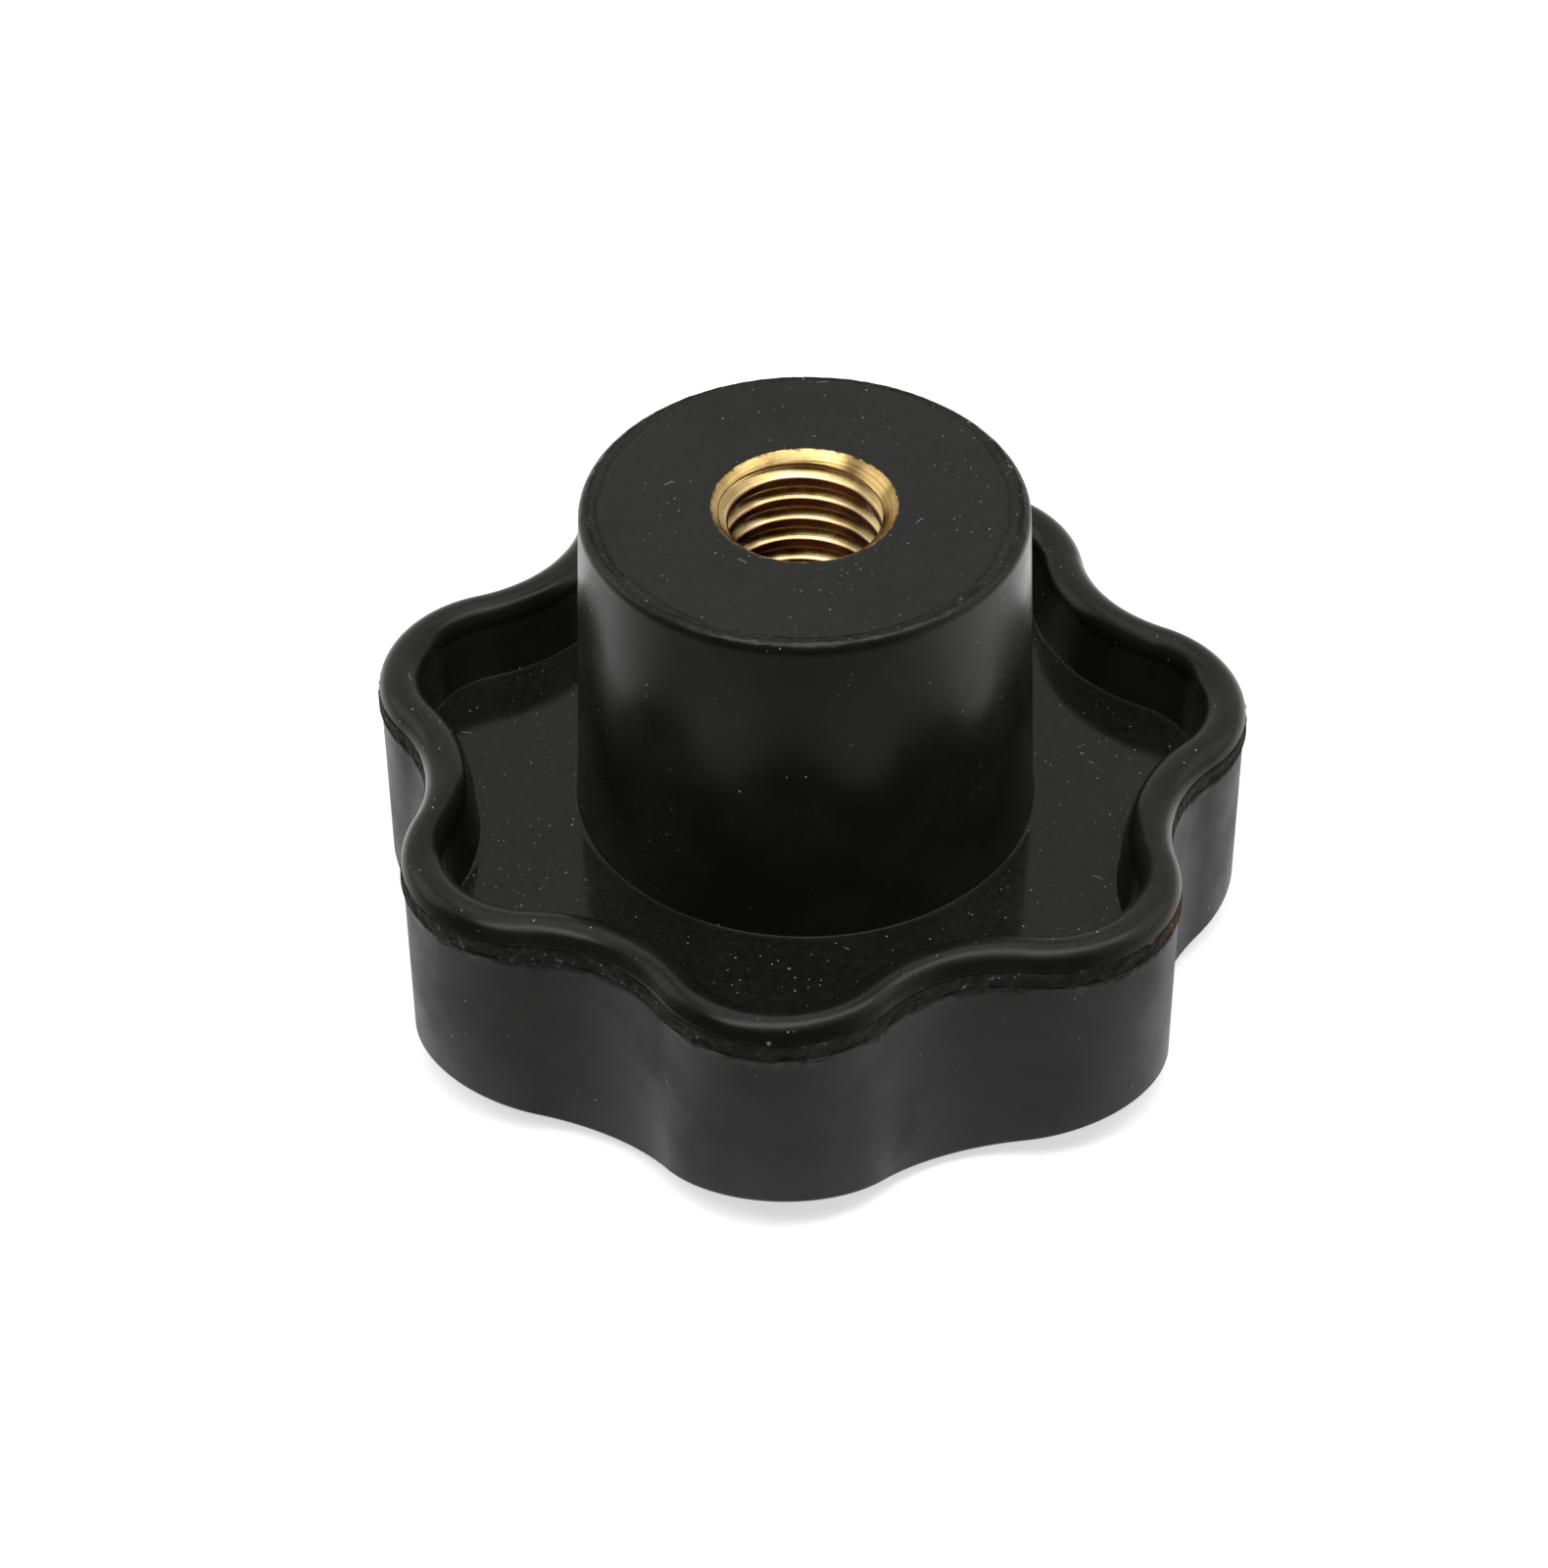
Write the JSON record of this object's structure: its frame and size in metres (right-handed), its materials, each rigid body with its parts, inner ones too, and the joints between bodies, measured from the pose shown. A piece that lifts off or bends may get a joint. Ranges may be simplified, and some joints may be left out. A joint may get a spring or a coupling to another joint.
{
  "type": "star knob",
  "caption": "Lobed hand knob with a recessed back, a raised round hub and a threaded metal bush for a stud or bolt.",
  "frame": {"origin": "middle of the flat of the front face, on the axis of the thread", "axes": "+Z along the axis of the thread and out of its mouth, with the first lobe along -Y"},
  "size_m": [0.0618, 0.0608, 0.038],
  "materials": {
    "black_moulding": "compression-moulded black phenolic, glossy where moulded and dull where the flash was trimmed",
    "turned_brass": "turned and tapped brass"
  },
  "bodies": {
    "root": {"knob_body": "black_moulding", "threaded_insert": "turned_brass"}
  },
  "joints": []
}
